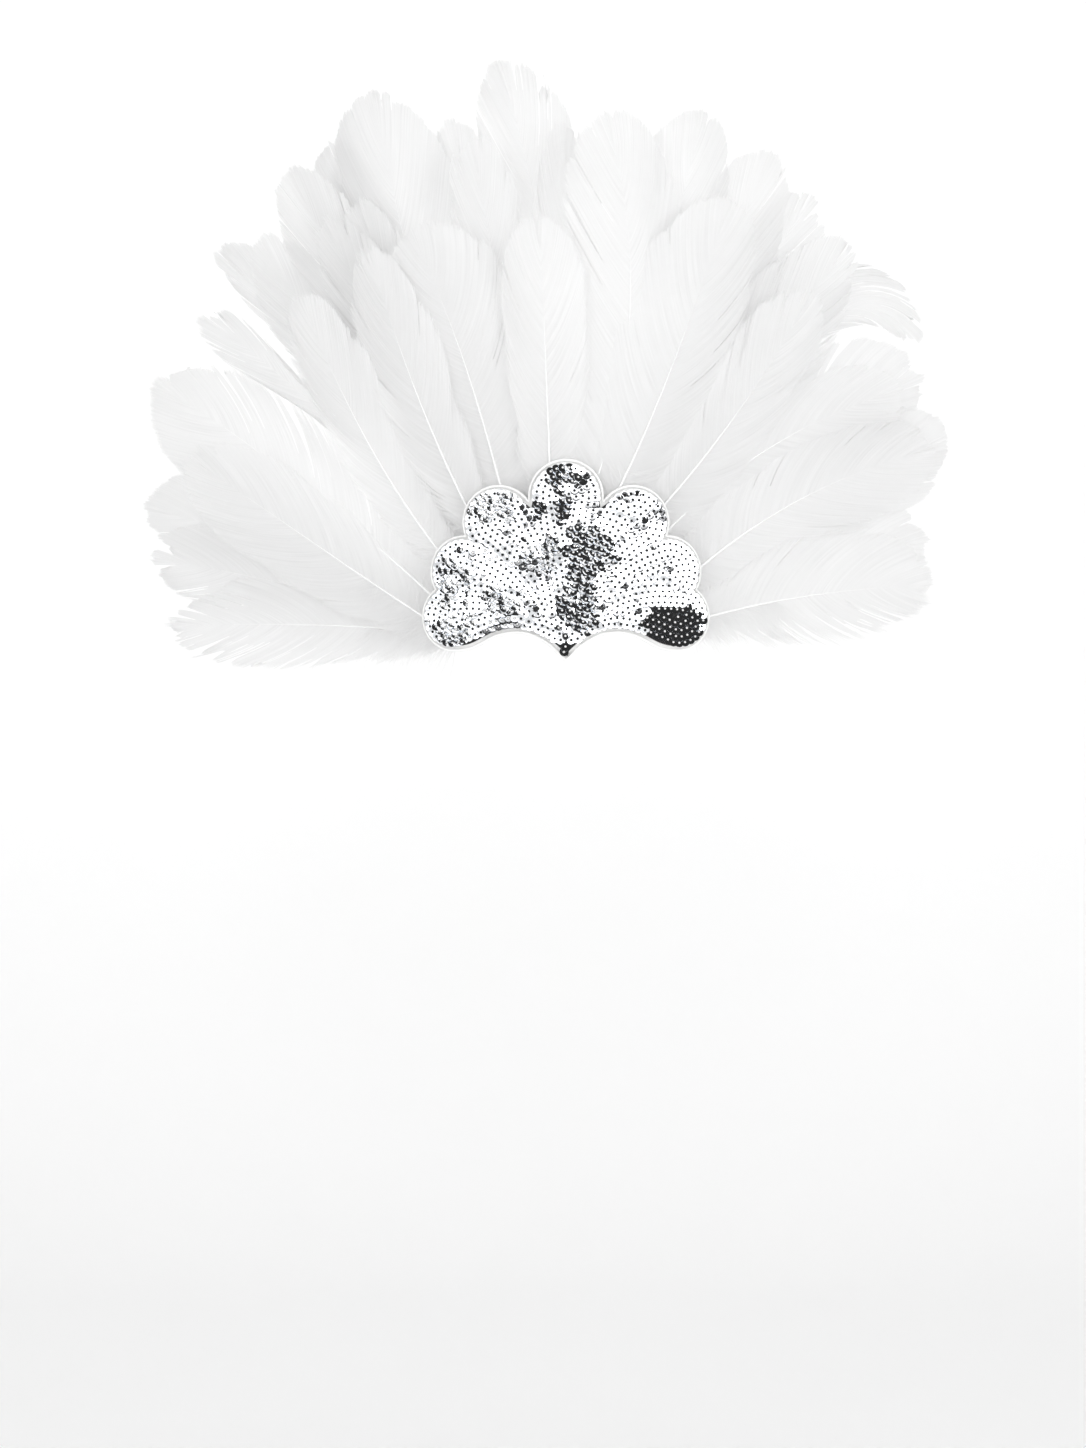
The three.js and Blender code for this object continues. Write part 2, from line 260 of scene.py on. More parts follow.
BOARD_THICKNESS = 2.4
BORDER = 3.0
PLAQUE_MIDDLE = np.array([0, 36])
ARCH_ACROSS = 26
ARCH_UP = 15.7
ARCH_SHOULDER = 12.3
LEAST_MITRE = 0.6  # keeps the border from running out at the notches
# The scallops of the right half from the bottom up to the middle one, each with its flute of sequins:
# where that starts, the point it bends past, and half its width at the start
SCALLOPS = [
    {"centre": (60, 24.8), "radius": 18.6, "base": (21, 24), "past": (32, 32), "base_half": 6},
    {"centre": (54.5, 49), "radius": 19.3, "base": (15, 24), "past": (24, 45), "base_half": 6},
    {"centre": (35.8, 75), "radius": 19.8, "base": (8, 24), "past": (14, 52), "base_half": 6},
    {"centre": (0, 88.5), "radius": 20, "base": (0, 4), "past": (0, 45), "base_half": 3},
]


def bezier(points, count):
    """Points along a quadratic or cubic curve, without its end."""
    t = np.linspace(0, 1, count, endpoint=False)[:, None]
    points = [np.array(p, float) for p in points]
    while len(points) > 1:
        points = [a + (b - a) * t for a, b in zip(points, points[1:])]
    return points[0]


def notch_between(low, high):
    """Where the outer edges of two neighbouring scallops meet."""
    start = np.array(low["centre"], float)
    way = np.array(high["centre"]) - start
    apart = np.linalg.norm(way)
    along = (low["radius"] ** 2 - high["radius"] ** 2 + apart**2) / (2 * apart)
    aside = math.sqrt(low["radius"] ** 2 - along**2)
    way /= apart
    return start + way * along + np.array([way[1], -way[0]]) * aside


def plaque_outline(point_steps=20, arch_steps=24, arc_steps=36):
    """The board's edge as points that run once round it, anticlockwise from the lower point."""
    lowest = SCALLOPS[0]
    foot = (lowest["centre"][0], lowest["centre"][1] - lowest["radius"])
    middle = (ARCH_ACROSS + foot[0]) / 2
    arch = (ARCH_ACROSS, ARCH_UP)
    runs = [
        bezier([(0, 0), (ARCH_SHOULDER, ARCH_UP), arch], point_steps),
        bezier([arch, (middle, ARCH_UP), (middle, foot[1]), foot], arch_steps),
    ]
    start = np.array(foot)
    for i, lobe in enumerate(SCALLOPS):
        centre = np.array(lobe["centre"], float)
        is_top = i + 1 == len(SCALLOPS)
        end = centre + (0, lobe["radius"]) if is_top else notch_between(lobe, SCALLOPS[i + 1])
        first = math.atan2(*(start - centre)[::-1])
        last = math.atan2(*(end - centre)[::-1])
        turn = np.linspace(first, last, arc_steps, endpoint=False)
        runs.append(centre + lobe["radius"] * np.stack([np.cos(turn), np.sin(turn)], -1))
        start = end
    right = np.concatenate(runs + [start[None]])
    left = right[-2:0:-1] * (-1, 1)
    return np.concatenate([right, left])


def unit(vectors):
    """The vectors made one long."""
    return vectors / np.linalg.norm(vectors, axis=1, keepdims=True)


def drawn_in(outline, border):
    """The outline drawn in by an even border."""

    def inward(start, end):
        way = end - start
        return unit(np.stack([-way[:, 1], way[:, 0]], -1))

    before = inward(np.roll(outline, 1, 0), outline)
    after = inward(outline, np.roll(outline, -1, 0))
    way = unit(before + after)
    mitre = np.maximum((way * before).sum(1, keepdims=True), LEAST_MITRE)
    return outline + way * border / mitre


def towards_middle(outline, share):
    """The outline shrunk to a share of its size."""
    return PLAQUE_MIDDLE + (outline - PLAQUE_MIDDLE) * share


outline = plaque_outline()
# The rim's section from the back round the edge and over the lip to the border: how far in, how deep
RIM_SECTION = [
    (0.4, 0.0), (0.1, -0.15), (0.0, -0.5), (0.0, -1.7), (0.15, -2.2), (0.5, -2.55), (0.95, -2.6),
    (1.35, -2.4), (1.6, -2.1), (1.8, -1.95), (2.4, -2.0), (3.2, -2.05), (3.8, -2.0),
]
FACE_SHARES = (0.03, 0.25, 0.5, 0.75, 0.9)  # the rings of the board's back and front
back_inset, back_depth = RIM_SECTION[0]
front_inset, front_depth = RIM_SECTION[-1]
back_edge = drawn_in(outline, back_inset)
front_edge = drawn_in(outline, front_inset)
board_rings = [(towards_middle(back_edge, share), back_depth) for share in FACE_SHARES]
board_rings += [(drawn_in(outline, inset), depth) for inset, depth in RIM_SECTION]
board_rings += [(towards_middle(front_edge, share), front_depth) for share in FACE_SHARES[::-1]]
board_points = np.concatenate([
    bend_round_head(ring[:, 0], np.full(len(ring), depth), ring[:, 1]) for ring, depth in board_rings
])
board_faces = grid_faces(len(board_rings), len(outline), closed=True).tolist()
board_faces.append(list(range(len(outline)))[::-1])
board_faces.append(list(range(len(board_points) - len(outline), len(board_points))))

# Stiffened felt: pressed white fibres under a satin size, so a soft white with a faint mottling. Single
# fibres are far too fine to show, so they are drawn as tufts of about a millimetre.
felt, tree = begin_material("stiffened white felt")
place = add_node(tree, "ShaderNodeTexCoord").outputs["Object"]
tufts = add_node(tree, "ShaderNodeTexNoise", {"Vector": place, "Scale": 1 / (1.1 * MM), "Detail": 4.0})
mottle = add_node(tree, "ShaderNodeTexNoise", {"Vector": place, "Scale": 1 / (9 * MM), "Detail": 2.0})
tone = add_node(tree, "ShaderNodeValToRGB", {"Fac": mottle})
tone.color_ramp.elements[0].color = linear("#fafaf9")
tone.color_ramp.elements[1].color = linear("#fffffe")
bump = add_node(tree, "ShaderNodeBump", {"Height": tufts, "Strength": 0.35, "Distance": 0.15 * MM})
shader = add_node(
    tree,
    "ShaderNodeBsdfPrincipled",
    {
        "Base Color": tone,
        "Roughness": 0.62,
        "Coat Weight": 1.0,
        "Coat Roughness": 0.4,
        "Normal": bump,
    },
)
add_node(tree, "ShaderNodeOutputMaterial", {"Surface": shader})

board = make_piece("felt_board", board_points, [f[::-1] for f in board_faces], [felt])
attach(board, "root")
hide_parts("plaque_board")


# Sequin cloth
# A padded field of net cloth on the board, sewn in seven flutes that spread from the point to the
# scallops. It carries the sequins and shows only between them.
SEQUIN_EDGE = 1.2
FLUTE_CROWN = 1.3
CLOTH_BACKING = 0.3
CLOTH_SEAT = -(BOARD_THICKNESS + CLOTH_BACKING)
FLUTE_STEPS = 40
CLOTH_FOOT = 0.1  # height of the cut edge above the seat
HEM_HEIGHT = 0.5
HEM_SHARE = 0.06  # of the way to the middle, where the hem has risen to the padding
CLOTH_SHARES = (1.0, 0.985, 0.96, 0.93, *np.linspace(0.89, 0.03, 34))


def flute_lines():
    """Each flute's centre line and its half width at every step."""
    flutes = []
    for lobe in SCALLOPS:
        for side in (-1, 1) if lobe["centre"][0] else (1,):
            ends = [np.array(lobe[key]) * (side, 1) for key in ("base", "past", "centre")]
            line = np.concatenate([bezier(ends, FLUTE_STEPS), ends[2][None]])
            half = np.linspace(lobe["base_half"], lobe["radius"] - BORDER, FLUTE_STEPS + 1)
            flutes.append({"line": line, "half": half})
    return flutes


flutes = flute_lines()


def flute_crowns(points):
    """For each point, how high every flute stands there: 1 on its back, 0 and less beyond its side."""
    crowns = []
    for flute in flutes:
        apart = np.linalg.norm(points[:, None] - flute["line"][None], axis=2)
        crowns.append((1 - (apart / flute["half"]) ** 2).max(1))
    return np.stack(crowns, 1)


def field_height(points):
    """Height of the padded field above its seat on the board."""
    return SEQUIN_EDGE + FLUTE_CROWN * np.maximum(flute_crowns(points).max(1), 0)


cloth_outline = drawn_in(outline, BORDER)
cloth_rings = [(cloth_outline, np.full(len(cloth_outline), CLOTH_FOOT))]
for share in CLOTH_SHARES:
    ring = towards_middle(cloth_outline, share)
    risen = min(1.0, (1.0 - share) / HEM_SHARE)
    cloth_rings.append((ring, HEM_HEIGHT + (field_height(ring) - HEM_HEIGHT) * risen))
cloth_points = np.concatenate([
    bend_round_head(ring[:, 0], CLOTH_SEAT - height, ring[:, 1]) for ring, height in cloth_rings
])
cloth_faces = grid_faces(len(cloth_rings), len(cloth_outline), closed=True).tolist()
cloth_faces.append(list(range(len(cloth_points) - len(cloth_outline), len(cloth_points))))

# Net cloth over padding, coloured dark grey as painted shade: the colour stands in for the shadow on the
# cloth in the sequins' holes and between them. A plain weave, drawn at a thread spacing of 0.9 mm so that it
# shows
net, tree = begin_material("net cloth painted dark as hole shade")
place = add_node(tree, "ShaderNodeTexCoord").outputs["Object"]
threads = add_node(
    tree,
    "ShaderNodeTexBrick",
    {
        "Vector": place,
        "Scale": 1 / (0.9 * MM),
        # These dark greys are painted shade for the shadowed cloth, not the cloth's own colour
        "Color1": linear("#242527"),
        "Color2": linear("#2c2d2f"),
        "Mortar": linear("#161718"),
        "Mortar Size": 0.12,
    },
)
shader = add_node(tree, "ShaderNodeBsdfPrincipled", {"Base Color": threads, "Roughness": 0.7})
add_node(tree, "ShaderNodeOutputMaterial", {"Surface": shader})

cloth = make_piece("sequin_cloth", cloth_points, [f[::-1] for f in cloth_faces], [net])
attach(cloth, "root")
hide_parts("sequin_panel")


# Sequins
# Cupped silver sequins, sewn through their holes in rows that follow each scallop's edge and run down
# both sides of its flute. Each lies a little on the next. Where the cloth is slack they hang, some of
# them curled, and the knots of the white thread show.
SEQUIN_PITCH = 3.3
ROW_PITCH = 3.35
MOST_ROWS = 8
ROW_ROOM = 0.78 * SEQUIN_PITCH  # what a sequin in a row needs to its neighbours
FILL_ROOM = 0.86 * SEQUIN_PITCH  # and one between the rows
FILL_STEP = 0.7
FIELD_INSET = 1.5  # from the edge of the cloth to the outermost stitches
FIELD_HALF_WIDTH = 78
FIELD_TOP = 108
OWN_MARGIN = 0.02  # a row ends this little past the groove beside its flute
SEQUIN_SECTION = [(0.78, 0.0), (1.8, 0.01), (2.25, 0.04), (2.45, 0.08)]  # radius, rise of the cup
SEQUIN_THICKNESS = 0.1
SEQUIN_SIDES = 12
SEQUIN_LIFT = 0.45  # above the cloth
SEQUIN_TILT = math.radians(1.3)  # how crooked they lie
SEQUIN_LAP = math.radians(3)  # how much each leans on the next in its row
SLOPE_SHARE = 0.45  # sequins bridge the dips of the padding
SLOPE_STEP = 0.4
RIPPLE = 0.045
DARK_SIDE_FROM = -15  # sequins further left hang towards the dark place on the left
HANGING_CUP = 0.3  # their cups are shallower
CURL_HEADING = 0.6  # radians from level, and how much that varies
CURL_SPREAD = 0.6
# Where the cloth is slack the sequins hang turned towards a dark place of the room: the middle and the
# half axes of each such patch, the share of its sequins that hang so, and how much they are curled
WHOLE_SHARE = 1.15  # with this share a patch has no gaps
FOLD_SHIFT = 0.6
PATCH_SCATTER = 0.06
LEAST_SWAY = 0.02
MORE_SWAY = 0.15  # where few of them hang
SLACK_PATCHES = [
    {"at": (-0.5, 99), "half": (10, 7.5), "share": 0.8, "curl": 0.03},
    {"at": (-1.5, 84), "half": (4, 11), "share": 0.95, "curl": 0.035},
    {"at": (-13.5, 82), "half": (4.5, 5), "share": 0.9, "curl": 0.03},
    {"at": (12, 60), "half": (15, 14), "share": 0.95, "curl": 0.042},
    {"at": (9, 44), "half": (9, 10), "share": 0.85, "curl": 0.048},
    {"at": (6, 28), "half": (12, 16), "share": 0.85, "curl": 0.042},
    {"at": (1.5, 7), "half": (5, 6), "share": 1},
    {"at": (57.5, 20), "half": (17.5, 12.5), "share": 1.1},
    {"at": (-9, 58), "half": (8, 14), "share": 0.6, "curl": 0.08},
    {"at": (-20, 58), "half": (6, 10), "share": 0.7, "curl": 0.09},
    {"at": (-38, 84), "half": (19, 10), "share": 0.7, "curl": 0.085},
    {"at": (-34, 32), "half": (13, 10), "share": 0.7, "curl": 0.075},
    {"at": (-33, 21), "half": (10, 5.5), "share": 0.95},
    {"at": (-60, 16), "half": (17, 12), "share": 0.7, "curl": 0.07},
    {"at": (-60, 46), "half": (15, 16), "share": 0.55, "curl": 0.075},
    {"at": (-46, 59.5), "half": (5.5, 1.7), "share": 1},
    {"at": (-37, 56.5), "half": (5.5, 1.7), "share": 1},
    {"at": (-28, 53.5), "half": (5.5, 1.7), "share": 1},
    {"at": (-20, 50.5), "half": (5.5, 1.7), "share": 1},
]
KNOT_RADIUS = 0.6
KNOT_SIDES = 8
KNOT_RISE = 0.1
rng = np.random.default_rng(11)


def row_line(flute, row):
    """One row of a flute: up its right side, round the scallop and down its left side."""
    inset = (row + 0.5) * ROW_PITCH
    line = flute["line"]
    half = flute["half"] - inset
    ahead = unit(np.gradient(line, axis=0))
    aside = np.stack([ahead[:, 1], -ahead[:, 0]], -1)
    keep = half > 0
    if keep.sum() < 2:
        return None
    right = (line + aside * half[:, None])[keep]
    left = (line - aside * half[:, None])[keep][::-1]
    heading = math.atan2(aside[-1, 1], aside[-1, 0])
    turn = heading + np.linspace(0, math.pi, 24)[1:-1]
    cap = line[-1] + half[-1] * np.stack([np.cos(turn), np.sin(turn)], -1)
    return np.concatenate([right, cap, left])


def spaced(line, pitch):
    """Points at an even pitch along a line, with the line's heading at each."""
    steps = np.linalg.norm(np.diff(line, axis=0), axis=1)
    run = np.concatenate([[0], np.cumsum(steps)])
    count = max(1, int(run[-1] / pitch))
    at = (np.arange(count) + 0.5) * run[-1] / count
    points = np.stack([np.interp(at, run, line[:, k]) for k in (0, 1)], -1)
    ahead = np.stack([np.interp(at + 0.3, run, line[:, k]) for k in (0, 1)], -1) - points
    return points, ahead / np.maximum(np.linalg.norm(ahead, axis=1, keepdims=True), 1e-6)


def inside(points, outline):
    """Which points lie inside a closed outline."""
    x, y = points[:, 0:1], points[:, 1:2]
    ax, ay = outline[:, 0], outline[:, 1]
    bx, by = np.roll(ax, -1), np.roll(ay, -1)
    crosses = (ay > y) != (by > y)
    with np.errstate(divide="ignore", invalid="ignore"):
        cut = ax + (y - ay) / (by - ay) * (bx - ax)
    return (crosses & (x < cut)).sum(1) % 2 == 1


sequin_field = drawn_in(outline, BORDER + FIELD_INSET)


def sew(sewn, points, ways, room):
    """What is sewn on, place and way of each, with those of the new points that have room beside it."""
    for point, way in zip(points, ways):
        if len(sewn) == 0 or ((sewn[:, :2] - point) ** 2).sum(1).min() > room**2:
            sewn = np.append(sewn, [[*point, *way]], 0)
    return sewn


sewn = np.empty((0, 4))
for number, flute in enumerate(flutes):
    for row in range(MOST_ROWS):
        line = row_line(flute, row)
        if line is not None:
            points, ahead = spaced(line, SEQUIN_PITCH)
            crowns = flute_crowns(points)
            own = (crowns[:, number] >= crowns.max(1) - OWN_MARGIN) & inside(points, sequin_field)
            sewn = sew(sewn, points[own], ahead[own], ROW_ROOM)
# Where the rows of two flutes meet, single sequins fill the gaps
spots_across = np.arange(-FIELD_HALF_WIDTH, FIELD_HALF_WIDTH, FILL_STEP)
spots_up = np.arange(1, FIELD_TOP, FILL_STEP)
spots = np.stack(np.meshgrid(spots_across, spots_up), -1).reshape(-1, 2)
spots = spots[inside(spots, sequin_field)]
sewn = sew(sewn, spots, np.tile([0.0, 1.0], (len(spots), 1)), FILL_ROOM)
sewn_at, sewn_way = sewn[:, :2].copy(), sewn[:, 2:].copy()
across, up = sewn_at[:, 0], sewn_at[:, 1]

# Each sequin's own axes in the flat layout, from the slope of the padding, a lap along the row and
# a crooked stitch
slopes = [
    (field_height(sewn_at + step) - field_height(sewn_at - step)) / (2 * SLOPE_STEP)
    for step in (np.array([SLOPE_STEP, 0]), np.array([0, SLOPE_STEP]))
]
crooked = rng.normal(0, SEQUIN_TILT, (len(sewn_at), 2))
# The cloth is not quite even: it ripples, in wandering waves of about 20 to 40 mm
ripple = RIPPLE * np.stack([
    np.sin(0.31 * across + 1.7 * np.sin(0.17 * up)) + np.sin(0.23 * up - 0.6),
    np.sin(0.28 * up + 1.9 * np.sin(0.19 * across + 2)),
], -1)
lean = sewn_way * math.tan(SEQUIN_LAP) + crooked + ripple
lean = lean - SLOPE_SHARE * np.stack(slopes, -1)
# Small folds, about 14 mm apart, break up the slack patches and give them ragged edges
fold = np.sin(0.5 * across + 1.3 * np.sin(0.36 * up)) * np.sin(0.42 * up + 1)
slack = np.zeros(len(sewn_at), bool)
sway = np.zeros((len(sewn_at), 1))
curl = np.zeros((len(sewn_at), 1))
for patch in SLACK_PATCHES:
    off = np.linalg.norm((sewn_at - patch["at"]) / patch["half"], axis=1)
    broken = (WHOLE_SHARE - patch["share"]) * (fold + FOLD_SHIFT)
    in_patch = off + broken + rng.normal(0, PATCH_SCATTER, len(sewn_at)) < 1
    slack |= in_patch
    sway[in_patch] = LEAST_SWAY + MORE_SWAY * (1 - patch["share"])
    curl[in_patch] = patch.get("curl", 0)
# A sequin mirrors a dark place towards -Y when it faces half way between the two
side_of = np.where(across < DARK_SIDE_FROM, -1, 1)
half_way = np.stack([side_of * DARK_PLACE[0], np.full(len(sewn_at), DARK_PLACE[2])], -1)
half_way = half_way / (1 - DARK_PLACE[1])
hanging = half_way - np.stack([np.tan(bend_turn(across)), 0 * slack], -1)
hanging += sway * rng.normal(0, 1, hanging.shape)
lean[slack] = hanging[slack]
face = unit(np.concatenate([lean, np.ones((len(sewn_at), 1))], 1))
first = unit(np.cross(np.array([0.0, 1.0, 0.0]), face))
second = np.cross(face, first)

section = SEQUIN_SECTION + [(r, h - SEQUIN_THICKNESS) for r, h in SEQUIN_SECTION[::-1]]
around = np.linspace(0, 2 * math.pi, SEQUIN_SIDES, endpoint=False)
ring_first = np.array([[r * math.cos(a) for a in around] for r, _ in section]).ravel()
ring_second = np.array([[r * math.sin(a) for a in around] for r, _ in section]).ravel()
ring_rise = np.array([[h for _ in around] for _, h in section]).ravel()
# A curled sequin is bent up on both sides of a line across it
curl_heading = rng.normal(CURL_HEADING, CURL_SPREAD, (len(sewn_at), 1))
across_curl = np.cos(curl_heading) * ring_first + np.sin(curl_heading) * ring_second
rise = np.where(slack, HANGING_CUP, 1)[:, None] * ring_rise + curl * across_curl**2
flat = (
    first[:, None] * ring_first[None, :, None]
    + second[:, None] * ring_second[None, :, None]
    + face[:, None] * rise[..., None]
)
stand = field_height(sewn_at) + SEQUIN_LIFT


def sewn_points(shapes, which):
    """Points in metres of what is sewn on at the chosen places, from its shapes in the flat layout."""
    at = sewn_at[which][:, None]
    depth = CLOTH_SEAT - stand[which][:, None] - shapes[..., 2]
    return bend_round_head(at[..., 0] + shapes[..., 0], depth, at[..., 1] + shapes[..., 1]).reshape(-1, 3)


def repeated(faces, copies, points_each):
    """The faces of like shapes whose points follow one another."""
    starts = np.arange(copies) * points_each
    return (faces[None] + starts[:, None, None]).reshape(-1, 4)


sequin_points = sewn_points(flat, slice(None))
one = grid_faces(len(section), SEQUIN_SIDES, closed=True)
last_ring = (len(section) - 1) * SEQUIN_SIDES
side = np.arange(SEQUIN_SIDES)
beside = (side + 1) % SEQUIN_SIDES
one = np.concatenate([one, np.stack([last_ring + side, last_ring + beside, beside, side], -1)])
sequin_faces = repeated(one, len(sewn_at), len(section) * SEQUIN_SIDES)

# The white thread shows as a knot in the holes of the sequins that hang
knot_turn = np.linspace(0, 2 * math.pi, KNOT_SIDES, endpoint=False)[None, :, None]
knot = KNOT_RADIUS * (first[slack][:, None] * np.cos(knot_turn) + second[slack][:, None] * np.sin(knot_turn))
knot = knot + KNOT_RISE * face[slack][:, None]
knot_points = sewn_points(knot, slack)
one_knot = np.array([[0, 1, 2, 3], [0, 3, 4, 7], [4, 5, 6, 7]])
knot_faces = repeated(one_knot, slack.sum(), KNOT_SIDES) + len(sequin_points)

# Metallised polyester, stamped into cups: a bright mirror with a soft haze and faint streaks
foil, tree = begin_material("metallised polyester sequin")
place = add_node(tree, "ShaderNodeTexCoord").outputs["Object"]
haze = add_node(tree, "ShaderNodeTexNoise", {"Vector": place, "Scale": 1 / (4 * MM), "Detail": 3.0})
rough = add_node(tree, "ShaderNodeMapRange", {"Value": haze, "To Min": 0.04, "To Max": 0.13})
shader = add_node(
    tree,
    "ShaderNodeBsdfPrincipled",
    {"Base Color": linear("#eceef1"), "Metallic": 1.0, "Roughness": rough},
)
add_node(tree, "ShaderNodeOutputMaterial", {"Surface": shader})

# White sewing thread: matt, with the faint twist of its plies
thread, tree = begin_material("white sewing thread")
place = add_node(tree, "ShaderNodeTexCoord").outputs["Object"]
plies = add_node(tree, "ShaderNodeTexNoise", {"Vector": place, "Scale": 1 / (0.5 * MM), "Detail": 1.0})
tone = add_node(tree, "ShaderNodeValToRGB", {"Fac": plies})
tone.color_ramp.elements[0].color = linear("#dcdcdc")
tone.color_ramp.elements[1].color = linear("#f6f6f6")
shader = add_node(tree, "ShaderNodeBsdfPrincipled", {"Base Color": tone, "Roughness": 0.7})
add_node(tree, "ShaderNodeOutputMaterial", {"Surface": shader})

sequins = make_piece(
    "sequins",
    np.concatenate([sequin_points, knot_points]),
    np.concatenate([sequin_faces, knot_faces]),
    [foil, thread],
    np.repeat([0, 1], [len(sequin_faces), len(knot_faces)]),
    smooth=False,
)
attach(sequins, "root")


# Head band
# A loop of white woven elastic, glued to the back of the board. Rubber threads run along it and make
# it ribbed.
BAND_HALF_BREADTH = 78
BAND_HALF_LENGTH = 97
BAND_HEIGHT = 20
BAND_THICKNESS = 1.5
BAND_STEPS = 220
BAND_RIBS = 12
RIB_STEPS = 4
RIB_RISE = 0.22
EDGE_TAPER = 0.6  # over this height the edges get thinner
EDGE_LEAST = 0.25

rib_up = np.linspace(-BAND_HEIGHT / 2, BAND_HEIGHT / 2, BAND_RIBS * RIB_STEPS + 1)
rib_rise = RIB_RISE * np.abs(np.sin(np.pi * BAND_RIBS * (rib_up / BAND_HEIGHT + 0.5)))
edge_taper = np.clip((BAND_HEIGHT / 2 - np.abs(rib_up)) / EDGE_TAPER, EDGE_LEAST, 1)
half_thickness = (BAND_THICKNESS / 2 - RIB_RISE + rib_rise) * edge_taper
outward = np.concatenate([BAND_THICKNESS / 2 + half_thickness, (BAND_THICKNESS / 2 - half_thickness)[::-1]])
band_up = np.concatenate([rib_up, rib_up[::-1]])
turn = np.linspace(0, 2 * math.pi, BAND_STEPS, endpoint=False)[:, None]
band_points = np.stack(
    [
        (BAND_HALF_BREADTH + outward) * np.cos(turn),
        (BAND_HALF_LENGTH + outward) * np.sin(turn),
        band_up + 0 * turn,
    ],
    -1,
) * MM
# The last ring of faces runs on into the first
band_faces = grid_faces(BAND_STEPS + 1, len(band_up), closed=True)
band_faces %= BAND_STEPS * len(band_up)

# Woven elastic: polyester yarn over rubber threads. The crosswise yarns show as fine ticks, here 0.8 mm
# apart.
elastic_weave, tree = begin_material("woven white elastic")
place = add_node(tree, "ShaderNodeTexCoord").outputs["Object"]
ticks = add_node(
    tree,
    "ShaderNodeTexBrick",
    {
        "Vector": place,
        "Scale": 1 / (0.8 * MM),
        "Color1": linear("#f4f4f2"),
        "Color2": linear("#e6e6e3"),
        "Mortar": linear("#d2d2ce"),
        "Mortar Size": 0.1,
    },
)
bump = add_node(
    tree, "ShaderNodeBump", {"Height": ticks.outputs["Fac"], "Strength": 0.3, "Distance": 0.1 * MM}
)
shader = add_node(
    tree,
    "ShaderNodeBsdfPrincipled",
    {
        "Base Color": ticks,
        "Roughness": 0.75,
        "Sheen Weight": 0.2,
        "Normal": bump,
    },
)
add_node(tree, "ShaderNodeOutputMaterial", {"Surface": shader})

band = make_piece("elastic_band", band_points.reshape(-1, 3), band_faces, [elastic_weave])
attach(band, "root")
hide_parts("head_band")


# Feathers
# White goose feathers in two rows, glued by their quills to the back of the board. Each is a tapered
# quill with a web of barbs on both sides. The barbs cling in a closed web, come free one by one at its
# edge, part in slits, wisps and loose strands, and turn to down at its foot.
FAN_MIDDLE = np.array([0, 12])
SEAT_DEPTH = 1.6
STEP_BACK_OVER = 12
RANK_STEP = 0.07  # how much further back each rank leans
RANK_EASE = 150
CURL_FROM = 0.35
VANE_DROOP = 1.5  # how far a web falls back at this distance from its quill
DROOP_AT = 20
ROWS = {
    "front": {"arc": (57, 50), "web_from": 8, "step_back": 0, "curl": 10, "edge": (4, 9), "seed": 0},
    "back": {"arc": (44, 36), "web_from": 16, "step_back": 2.7, "curl": 18, "edge": (2, 5), "seed": 100},
}
LINE_STEPS = 240
LINE_PAST_TIP = (6, 12, 18)
QUILL_RADIUS = 1.0
QUILL_TIP_RADIUS = 0.1
QUILL_SHARE = 0.78  # of the web's length
QUILL_SINK = 0.5  # of its radius, towards the front
BARB_PITCH = 0.8
BARB_RELIEF = 0.035
BARB_SWEEP = 2.15  # how far the barbs reach towards the tip
LOOSE_SWEEP = 0.35  # and how much less on a loose web
WEB_STEPS = 9
WEB_SHARE = 0.93  # of the web's length: beyond it, barbs alone make the tip
WEB_FULLNESS = 1.15  # half width over that of the solid
WEB_SPREAD = (0.94, 1.06)  # by how much webs of one width differ
WEB_BLUNTNESS = 4.5
WEB_PEAK = 0.75  # the outline's greatest value
WEB_WANDER = 0.07  # how far the outline strays, as a share
WEB_WAVE = 1.6
WEB_CURL = (-1, 2)  # of its edge
BARB_SLANT = 0.65  # 1 for straight barbs
BARB_BULGE = 0.2
BARB_STRAY = 0.5
BARB_TAPER = 0.92
EDGE_STEPS = 4
EDGE_MOST = 0.7  # of a barb, what may be free
TIP_FROM = 0.6  # towards the tip the barbs are free for a shorter way
TIP_OVER = 0.3
TIP_EDGE = 0.2  # of the barbs' free length at the sides, what is left of it at the tip
CLUMP_BARBS = 5
# The cuts that part a web into lobes: the usual ones near the tip, those of a loose web and those beside
# wisps. Where along the web they come, how deep they go, and how much deeper on a loose web
CUTS = [
    {"between": (0.5, 0.97), "depth": (0.08, 0.25), "deeper": 0},
    {"between": (0.04, 0.75), "depth": (0.3, 0.5), "deeper": 0.45},
    {"between": (0.55, 0.96), "depth": (0.3, 0.6), "deeper": 0},
]
USUAL_CUTS = (1, 4)
LOOSE_CUTS = 22
UNCUT_DEPTH = 0.3
LOBE_PAST_END = 0.2
LOBE_POINT = (0.2, 0.8)  # how far the sides of a lobe draw together
LOBE_NARROWS = (1, 8)  # and how much more between deep cuts
LOBE_ROUNDING = (1.0, 3.5)
WISP_SWING = (1, 7)  # how far a wisp bends back towards the foot
DOWN_STEPS = 9
DOWN_HALF_WIDTH = 0.2
DOWN_HEADING = math.radians(52)
DOWN_SPREAD = math.radians(18)
DOWN_STRANDS = {"least": 60, "more": 130}
DOWN_PLACE = {"least": 22, "more": 34}  # how far along the web it stands
DOWN_LENGTH = {"shortest": 8, "longest": 18, "more": 10}


class Feather(NamedTuple):
    """One feather. Its first five values are its solid's too. Pairs are left and right of the quill."""

    root: float  # where its quill ends on the arc of its row, in degrees
    tip: tuple
    bow: float
    width: float
    rank: float
    loose: tuple  # how loose the web is
    down: tuple = (0.3, 0.3)  # how much down stands at its foot
    sides: tuple = (1, 1)  # the share of the width
    wisps: tuple = (0, 0)  # how many come out of the edge
    hook: float = 0  # how far the tip turns to the right, in degrees
    slender: float = 0.36  # how late the web widens


